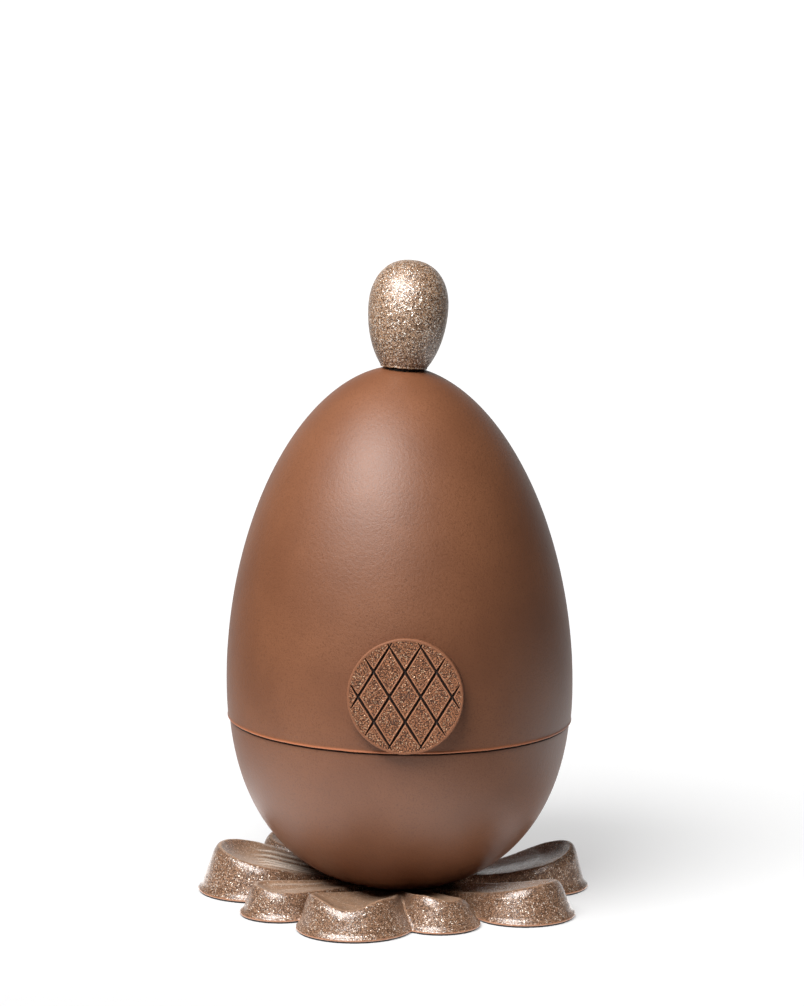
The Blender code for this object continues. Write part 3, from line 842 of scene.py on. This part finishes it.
base = {
    "petals": (
        dict(azimuth=3.5, distance=45.2, radius=15.1, tip=14.2, root=5.2, climb=2.3,
             draft=13, sideDraft=0, dip=0.0, dipAngle=0, tilt=1.0, sink=0.06,
             streaks=0.0, smooth=1.0),
        dict(azimuth=60.0, distance=42.0, radius=11.5, tip=9.0, root=4.0, climb=1.3,
             draft=20, sideDraft=0, dip=0.0, dipAngle=0, tilt=0.0, sink=0.15,
             streaks=0.5, smooth=0.0),
        dict(azimuth=95.0, distance=46.0, radius=17.5, tip=12.5, root=3.5, climb=1.4,
             draft=20, sideDraft=0, dip=1.5, dipAngle=10, tilt=0.0, sink=0.16,
             streaks=0.7, smooth=0.0),
        dict(azimuth=136.5, distance=46.5, radius=13.4, tip=10.4, root=3.5, climb=1.3,
             draft=20, sideDraft=0, dip=0.0, dipAngle=0, tilt=0.0, sink=0.15,
             streaks=0.6, smooth=0.0),
        dict(azimuth=180.6, distance=45.0, radius=19.4, tip=15.0, root=2.8, climb=1.1,
             draft=20, sideDraft=0, dip=0.0, dipAngle=0, tilt=-0.6, sink=0.11,
             streaks=1.0, smooth=0.3),
        dict(azimuth=220.5, distance=49.3, radius=12.9, tip=9.7, root=4.6, climb=1.1,
             draft=20, sideDraft=0, dip=0.0, dipAngle=0, tilt=-0.6, sink=0.15,
             streaks=0.3, smooth=0.0),
        dict(azimuth=254.6, distance=52.9, radius=18.4, tip=13.2, root=2.8, climb=1.2,
             draft=25, sideDraft=10, dip=3.9, dipAngle=6, tilt=0.0, sink=0.27,
             streaks=0.0, smooth=0.0),
        dict(azimuth=284.9, distance=48.6, radius=12.8, tip=11.0, root=3.0, climb=1.2,
             draft=27, sideDraft=10, dip=1.2, dipAngle=5, tilt=-1.2, sink=0.20,
             streaks=0.0, smooth=0.0),
        dict(azimuth=318.9, distance=51.7, radius=16.2, tip=12.3, root=4.0, climb=1.8,
             draft=23, sideDraft=0, dip=0.0, dipAngle=0, tilt=0.0, sink=0.14,
             streaks=0.0, smooth=0.7),
    ),
    "rootDistance": 12.0 * mm,
    "rootRadius": 5.0 * mm,
    "dipSpread": math.radians(42.0),
    "lipWidth": 5.5,
    "climbLimit": 1.05,
    "arcSteps": 44,
    "sideSteps": 24,
    "rootSteps": 8,
    "troughBowl": 2.0,
    "troughRings": (0.92, 0.84, 0.74, 0.62, 0.5, 0.38, 0.25, 0.12),
    # height above the table and inset from the flange's edge, in mm
    "flange": ((0.0, 0.45), (0.3, 0.12), (0.7, 0.0), (1.0, 0.06), (1.25, 0.3), (1.5, 0.7),
               (1.8, 1.05), (2.2, 1.3), (2.8, 1.55), (3.4, 1.75)),
    "filletTopHeight": 4.2,
    "filletTopInset": 2.0,
    # depth below the rim and further inset, in mm
    "rim": ((2.2, 0.0), (1.4, 0.12), (0.7, 0.35), (0.35, 0.55), (0.1, 0.8), (0.0, 1.1),
            (0.02, 1.5)),
    "rimFullDropHeight": 2.86,
    "rimInsetGuess": 6.0 * mm,
    "lowestRim": 4.2,
    "leastRimReach": 0.4 * mm,
    "fullRoundRadius": 12.0 * mm,
    "seatRadius": 20.0 * mm,
    "seatThickness": 3.2 * mm,
    "seatSides": 96,
    "voxel": 0.48 * mm,
    # a point that lies this share of a voxel below its neighbours is in a crease
    "creaseDepths": (0.02, 0.10),
    "creaseSpread": 6,
    "creaseFade": 0.93,
    "creaseGain": 1.4,
    "creasePasses": 18,
    "uneven": 0.07 * mm,
    "swellSize": 3.2 * mm,
    "finerSwellSize": 1.3 * mm,
    "fanRoot": 0.35,
    "streakDepth": 0.70 * mm,
    "streakSpacing": 4.4 * mm,
    "streakWander": 1.6 * mm,
    "streakStart": (20 * mm, 27 * mm),
    "streakEnd": (-4.0, 3.0),
    "flatBelow": 0.12 * mm,
    "eggGap": 0.3 * mm,
}


def petalAxes(petal):
    azimuth = math.radians(petal["azimuth"])
    axis = Vector((math.cos(azimuth), math.sin(azimuth), 0.0))
    return axis, Vector((-axis.y, axis.x, 0.0))


def petalStations(petal):
    # stations round a petal from its tip to its root and back, mirrored about its axis
    axis, side = petalAxes(petal)
    distance, radius = petal["distance"] * mm, petal["radius"] * mm
    tipCentre, rootCentre = axis * distance, axis * base["rootDistance"]
    tangent = math.acos((base["rootRadius"] - radius) / (distance - base["rootDistance"]))
    half = []
    for step in range(base["arcSteps"] + 1):
        half.append((tipCentre, tangent * step / base["arcSteps"], radius))
    for step in range(1, base["sideSteps"]):
        share = step / base["sideSteps"]
        narrowed = radius + (base["rootRadius"] - radius) * share
        half.append((tipCentre.lerp(rootCentre, share), tangent, narrowed))
    for step in range(base["rootSteps"] + 1):
        turn = tangent + (math.pi - tangent) * step / base["rootSteps"]
        half.append((rootCentre, turn, base["rootRadius"]))
    signed = [(1.0, station) for station in half] + [(-1.0, station) for station in half[-2:0:-1]]
    return [(spine, axis * math.cos(turn) + side * (sign * math.sin(turn)), reach, sign * turn)
            for sign, (spine, turn, reach) in signed]


def wallInset(height, petal, turn):
    draft = petal["draft"] + petal["sideDraft"] * math.sin(turn)
    heights = [row[0] for row in base["flange"]] + [base["filletTopHeight"]]
    insets = [row[1] for row in base["flange"]] + [base["filletTopInset"]]
    if height <= heights[-1]:
        return float(np.interp(height, heights, insets))
    above = height - base["filletTopHeight"]
    return base["filletTopInset"] + above * math.tan(math.radians(draft))


def climbShare(petal, reach):
    start = base["rootDistance"] / mm
    end = petal["distance"] + petal["radius"] - base["lipWidth"]
    return min(max((reach / mm - start) / (end - start), 0.0), base["climbLimit"])


def sideHeight(petal, reach):
    climbed = climbShare(petal, reach) ** petal["climb"]
    return petal["root"] + (petal["tip"] - petal["root"]) * climbed


def rimHeight(petal, reach, turn):
    offDip = (turn - math.radians(petal["dipAngle"])) / base["dipSpread"]
    dip = petal["dip"] * math.exp(-offDip ** 2)
    tilt = petal["tilt"] * math.sin(turn) * climbShare(petal, reach)
    return sideHeight(petal, reach) - dip + tilt


def petalRings(petal):
    # rings from the flange's underside up the wall, over the rim and down into the trough
    stations = petalStations(petal)
    rims = []
    for spine, outward, radius, turn in stations:
        rough = spine + outward * max(radius - base["rimInsetGuess"], base["leastRimReach"])
        rims.append(max(rimHeight(petal, rough.length, turn), base["lowestRim"]))
    rings = []
    for height, inset in base["flange"]:
        rings.append([spine + outward * (radius - inset * mm) + Vector((0.0, 0.0, height * mm))
                      for spine, outward, radius, turn in stations])
    flangeTop = base["flange"][-1][0]
    for drop, further in base["rim"]:
        ring = []
        for (spine, outward, radius, turn), rim in zip(stations, rims):
            height = rim - drop * min(1.0, (rim - flangeTop) / base["rimFullDropHeight"])
            inset = wallInset(height, petal, turn)
            inset += further * min(1.0, radius / base["fullRoundRadius"])
            reach = max(radius - inset * mm, base["leastRimReach"])
            ring.append(spine + outward * reach + Vector((0.0, 0.0, height * mm)))
        rings.append(ring)
    rimRing = rings[-1]
    for share in base["troughRings"]:
        ring = []
        for (spine, outward, radius, turn), point in zip(stations, rimRing):
            flat = spine + (Vector((point.x, point.y, 0.0)) - spine) * share
            floor = (1.0 - petal["sink"]) * sideHeight(petal, spine.length) * mm
            height = floor + (point.z - floor) * share ** base["troughBowl"]
            ring.append(Vector((flat.x, flat.y, height)))
        rings.append(ring)
    return rings


def ladderFaces(first, count, upward):
    # closes a ring with rungs across it
    faces = [(first, first + 1, first + count - 1)]
    for step in range(1, count // 2 - 1):
        opposite = first + count - step
        faces.append((first + step, first + step + 1, opposite - 1, opposite))
    last = count // 2
    faces.append((first + last - 1, first + last, first + last + 1))
    return faces if upward else [face[::-1] for face in faces]


def joinedPetals():
    # all petals and the seat as overlapping closed forms in one mesh
    points, faces = [], []
    for petal in base["petals"]:
        rings = petalRings(petal)
        count = len(rings[0])
        first = len(points)
        points += [tuple(point) for ring in rings for point in ring]
        faces += ladderFaces(first, count, False)
        faces += gridFaces(len(rings), count, first)
        faces += ladderFaces(first + (len(rings) - 1) * count, count, True)
    mesh = bpy.data.meshes.new("petalForms")
    mesh.from_pydata(points, [], faces)
    form = bmesh.new()
    form.from_mesh(mesh)
    reach, thickness = base["seatRadius"], base["seatThickness"]
    seat = bmesh.ops.create_cone(form, cap_ends=True, segments=base["seatSides"],
                                 radius1=reach, radius2=reach, depth=thickness)
    bmesh.ops.translate(form, verts=seat["verts"], vec=(0.0, 0.0, 0.5 * thickness))
    form.to_mesh(mesh)
    form.free()
    return mesh


def fused(mesh, voxel):
    # one skin round all the overlapping forms
    item = bpy.data.objects.new("petalForms", mesh)
    bpy.context.scene.collection.objects.link(item)
    remesh = item.modifiers.new("Fuse", "REMESH")
    remesh.mode = "VOXEL"
    remesh.voxel_size = voxel
    bpy.context.view_layer.update()
    graph = bpy.context.evaluated_depsgraph_get()
    result = bpy.data.meshes.new_from_object(item.evaluated_get(graph))
    bpy.data.objects.remove(item)
    return result


def readVectors(mesh, name):
    # co gives the vertices' places, normal their directions
    vectors = np.zeros(len(mesh.vertices) * 3, np.float64)
    mesh.vertices.foreach_get(name, vectors)
    return vectors.reshape(-1, 3)


def neighbourMean(values, ends, counts):
    # the mean of each vertex's neighbours, over the two ends of each edge
    total = np.zeros_like(values)
    for here, there in ((0, 1), (1, 0)):
        for axis in range(values.shape[1]):
            total[:, axis] += np.bincount(ends[:, here], weights=values[ends[:, there], axis],
                                          minlength=len(values))
    return total / counts[:, None]


def softenCreases(mesh):
    # fills the sharp valleys between petals with a small round
    points, normals = readVectors(mesh, "co"), readVectors(mesh, "normal")
    ends = np.zeros(len(mesh.edges) * 2, np.int64)
    mesh.edges.foreach_get("vertices", ends)
    ends = ends.reshape(-1, 2)
    counts = np.bincount(ends.ravel(), minlength=len(points)).astype(float)
    lift = ((neighbourMean(points, ends, counts) - points) * normals).sum(axis=1)
    shallow, deep = base["creaseDepths"]
    weight = smoothStep(shallow * base["voxel"], deep * base["voxel"], lift)[:, None]
    for spread in range(base["creaseSpread"]):
        weight = np.maximum(weight, base["creaseFade"] * neighbourMean(weight, ends, counts))
    weight = np.clip(weight * base["creaseGain"], 0.0, 1.0)
    for turn in range(base["creasePasses"]):
        points += 0.5 * weight * (neighbourMean(points, ends, counts) - points)
    points[:, 2] = np.maximum(points[:, 2], 0.0)
    return points


def troughSpots(points, petal):
    # how far points lie along a petal and across its fan, and how well inside its trough
    axis, side = petalAxes(petal)
    along = points[:, :2] @ np.array(axis)[:2]
    across = points[:, :2] @ np.array(side)[:2]
    halfWidth = petal["radius"] * mm - base["lipWidth"] * mm
    width = base["fanRoot"] + (1.0 - base["fanRoot"]) * along / (petal["distance"] * mm)
    spread = across / np.maximum(width, 0.2)
    inTrough = 1.0 - smoothStep(0.7 * halfWidth, 1.1 * halfWidth, np.abs(spread))
    return along, spread, inTrough * smoothStep(12 * mm, 16 * mm, along)


def streakHeight(points, petal):
    # ridges that run along a petal's trough and fan out
    along, spread, inTrough = troughSpots(points, petal)
    fades, gone = base["streakEnd"]
    end = smoothStep((petal["distance"] + fades) * mm, (petal["distance"] + gone) * mm, along)
    inReach = smoothStep(*base["streakStart"], along) * (1.0 - end)
    wander = waves(points * (1.0, 1.0, 0.0), 16 * mm, 61) * base["streakWander"]
    ridge = np.cos(2.0 * math.pi * (spread + wander) / base["streakSpacing"])
    height = petal["streaks"] * base["streakDepth"] * np.clip(ridge, 0.0, 1.0) ** 3
    return height * inTrough * inReach


def flattenUnderside(mesh):
    # the base stands flat, with few faces where nothing shows
    form = bmesh.new()
    form.from_mesh(mesh)
    for vertex in form.verts:
        if vertex.co.z < base["flatBelow"]:
            vertex.co.z = 0.0
    under = [face for face in form.faces if all(vertex.co.z == 0.0 for vertex in face.verts)]
    bmesh.ops.dissolve_faces(form, faces=under)
    wide = [face for face in form.faces if len(face.verts) > 4]
    bmesh.ops.triangulate(form, faces=wide)
    form.to_mesh(mesh)
    form.free()


def makeBase(material):
    mesh = fused(joinedPetals(), base["voxel"])
    points = softenCreases(mesh)
    mesh.vertices.foreach_set("co", points.ravel())
    mesh.update()
    normals = readVectors(mesh, "normal")
    swell = waves(points, base["swellSize"], 71) + 0.6 * waves(points, base["finerSwellSize"], 77)
    lifted = smoothStep(1.2 * mm, 3.0 * mm, points[:, 2])
    points += normals * (base["uneven"] * swell * (0.25 + 0.75 * lifted))[:, None]
    streaks, smooth = np.zeros(len(points)), np.zeros(len(points))
    for petal in base["petals"]:
        smooth = np.maximum(smooth, petal["smooth"] * troughSpots(points, petal)[2])
        if petal["streaks"]:
            streaks += streakHeight(points, petal) * smoothStep(0.5, 0.9, normals[:, 2])
    points[:, 2] += streaks
    # what would reach into the cup is pressed down to its underside
    local = placed(points, np.array(eggFrame.inverted()))
    fromAxis = np.hypot(local[:, 0], local[:, 1])
    floor = eggFloorAt(fromAxis, base["eggGap"])
    over = np.where(fromAxis < egg["radius"], np.maximum(local[:, 2] - floor, 0.0), 0.0)
    points[:, 2] = np.maximum(points[:, 2] - over, 0.0)
    mesh.vertices.foreach_set("co", points.ravel())
    # the streak share also places the painted highlight on the ridges' crests
    addAttribute(mesh, "streak", np.clip(streaks / base["streakDepth"], 0.0, 1.0))
    addAttribute(mesh, "smooth", np.clip(smooth, 0.0, 1.0))
    flattenUnderside(mesh)
    mesh.name = "petalBase"
    mesh.materials.clear()
    mesh.materials.append(material)
    mesh.shade_smooth()
    piece = bpy.data.objects.new("petalBase", mesh)
    bpy.context.scene.collection.objects.link(piece)
    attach(piece, "root")
    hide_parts("base_rosette")
    print("base:", len(mesh.polygons), "faces")
    return piece


# floor, light and camera

studio = {
    "floorSize": 14.0,
    "floorColour": 0.42,
    "floorRoughness": 0.9,
    "floorSpecular": 0.1,
    "floorWhite": 1.07,
    # the backdrop shows below the first pair of heights and behind the second pair of depths
    "sky": 0.05,
    "backdrop": 1.0,
    "backdropHeight": (0.55, 0.15),
    "backdropDepth": (0.60, 0.95),
    "keyAzimuth": math.radians(-33.0),
    "keyHeight": math.radians(50.0),
    "keyDistance": 0.58,
    "keyTarget": Vector((0.0, 0.0, 0.115)),
    "keyWide": 0.46,
    "keyTall": 0.32,
    "keyPower": 7.7,
    # glow of the table on the egg: radius, brightness and middle of each round patch
    "tableGlow": ((0.115, 1.6, (-0.045, -0.035, 0.0004)), (0.34, 0.45, (0.0, 0.0, 0.0003)),
                  (0.15, 1.2, (0.27, 0.05, 0.0002))),
    "cameraPlace": (0.0, -1.8, 0.45505),
    "cameraPitch": math.radians(10.382),
    "cameraYaw": -0.00039,
    "lens": 207.5,
    "sensor": 36.0,
}


def keyDirection():
    azimuth, height = studio["keyAzimuth"], studio["keyHeight"]
    level = math.cos(height)
    return Vector((math.sin(azimuth) * level, -math.cos(azimuth) * level, math.sin(height)))


def makeFloor():
    # the floor glows by as much as the key light leaves it short of an even white
    half = 0.5 * studio["floorSize"]
    corners = [(-half, -half, 0.0), (half, -half, 0.0), (half, half, 0.0), (-half, half, 0.0)]
    material, tree, shader = newMaterial("floorWhite")
    shade = studio["floorColour"]
    shader.inputs["Base Color"].default_value = (shade, shade, shade, 1.0)
    shader.inputs["Roughness"].default_value = studio["floorRoughness"]
    shader.inputs["Specular IOR Level"].default_value = studio["floorSpecular"]
    shader.inputs["Emission Color"].default_value = (1.0, 1.0, 1.0, 1.0)
    lamp = studio["keyTarget"] + keyDirection() * studio["keyDistance"]
    fromLamp = addNode(tree, "ShaderNodeVectorMath", operation="SUBTRACT")
    fromLamp.inputs[1].default_value = lamp
    tree.links.new(objectPlace(tree), fromLamp.inputs[0])
    along = addNode(tree, "ShaderNodeVectorMath", operation="DOT_PRODUCT")
    along.inputs[1].default_value = -keyDirection()
    tree.links.new(fromLamp.outputs["Vector"], along.inputs[0])
    square = addNode(tree, "ShaderNodeVectorMath", operation="DOT_PRODUCT")
    tree.links.new(fromLamp.outputs["Vector"], square.inputs[0])
    tree.links.new(fromLamp.outputs["Vector"], square.inputs[1])
    fourth = maths(tree, "MULTIPLY", square.outputs["Value"], square.outputs["Value"])
    factor = shade * studio["keyPower"] * lamp.z / math.pi ** 2
    lit = maths(tree, "DIVIDE", maths(tree, "MULTIPLY", along.outputs["Value"], factor), fourth)
    glow = maths(tree, "SUBTRACT", studio["floorWhite"], maths(tree, "MAXIMUM", lit, 0.0))
    tree.links.new(maths(tree, "MAXIMUM", glow, 0.0), shader.inputs["Emission Strength"])
    floor = makePiece("floor", corners, [(0, 1, 2, 3)], material, smooth=False)
    # the camera sees the floor, and the patches of tableGlow light the egg in its place
    floor.visible_diffuse = False
    floor.visible_glossy = False


def makeTableGlow():
    for radius, brightness, middle in studio["tableGlow"]:
        glow = bpy.data.lights.new("tableGlow", "AREA")
        glow.shape = "DISK"
        glow.size = 2.0 * radius
        glow.energy = brightness * (math.pi * radius) ** 2
        patch = bpy.data.objects.new("tableGlow", glow)
        patch.location = middle
        patch.rotation_euler = (math.pi, 0.0, 0.0)
        patch.visible_camera = False
        bpy.context.scene.collection.objects.link(patch)


def makeSky():
    # dim all round, with a pale backdrop low behind the egg
    world = bpy.data.worlds.new("studioSky")
    world.use_nodes = True
    tree = world.node_tree
    background = tree.nodes["Background"]
    background.inputs["Color"].default_value = (1.0, 1.0, 1.0, 1.0)
    split = addNode(tree, "ShaderNodeSeparateXYZ")
    tree.links.new(addNode(tree, "ShaderNodeTexCoord").outputs["Generated"], split.inputs["Vector"])
    low = remap(tree, split.outputs["Z"], *studio["backdropHeight"])
    behind = remap(tree, split.outputs["Y"], *studio["backdropDepth"])
    paleness = maths(tree, "MULTIPLY", low, behind)
    tree.links.new(remap(tree, paleness, 0.0, 1.0, studio["sky"], studio["backdrop"]),
                   background.inputs["Strength"])
    bpy.context.scene.world = world


def makeKeyLight():
    key = bpy.data.lights.new("keyLight", "AREA")
    key.shape = "RECTANGLE"
    key.size, key.size_y = studio["keyWide"], studio["keyTall"]
    key.energy = studio["keyPower"]
    lamp = bpy.data.objects.new("keyLight", key)
    lamp.location = studio["keyTarget"] + keyDirection() * studio["keyDistance"]
    lamp.rotation_euler = keyDirection().to_track_quat("Z", "Y").to_euler()
    lamp.visible_camera = False
    bpy.context.scene.collection.objects.link(lamp)


def makeCamera():
    view = bpy.data.cameras.new("photoCamera")
    view.sensor_fit = "VERTICAL"
    view.sensor_height = studio["sensor"]
    view.lens = studio["lens"]
    view.clip_end = 100.0
    camera = bpy.data.objects.new("photoCamera", view)
    camera.location = studio["cameraPlace"]
    camera.rotation_euler = (0.5 * math.pi - studio["cameraPitch"], 0.0, studio["cameraYaw"])
    bpy.context.scene.collection.objects.link(camera)
    bpy.context.scene.camera = camera
    bpy.context.scene.view_settings.view_transform = "Standard"
    bpy.context.scene.view_settings.look = "None"


def makeStudio():
    makeFloor()
    makeSky()
    makeTableGlow()
    makeKeyLight()
    makeCamera()
    print("studio: floor, light and camera")


chocolate = makeMilkChocolate()
makeLid(chocolate)
makeCup(chocolate)
makeMedallion(makeGoldDust())
makeKnob(makeShimmer("knobShimmer", knobDust))
makeBase(makeShimmer("petalShimmer", petalDust))
makeStudio()
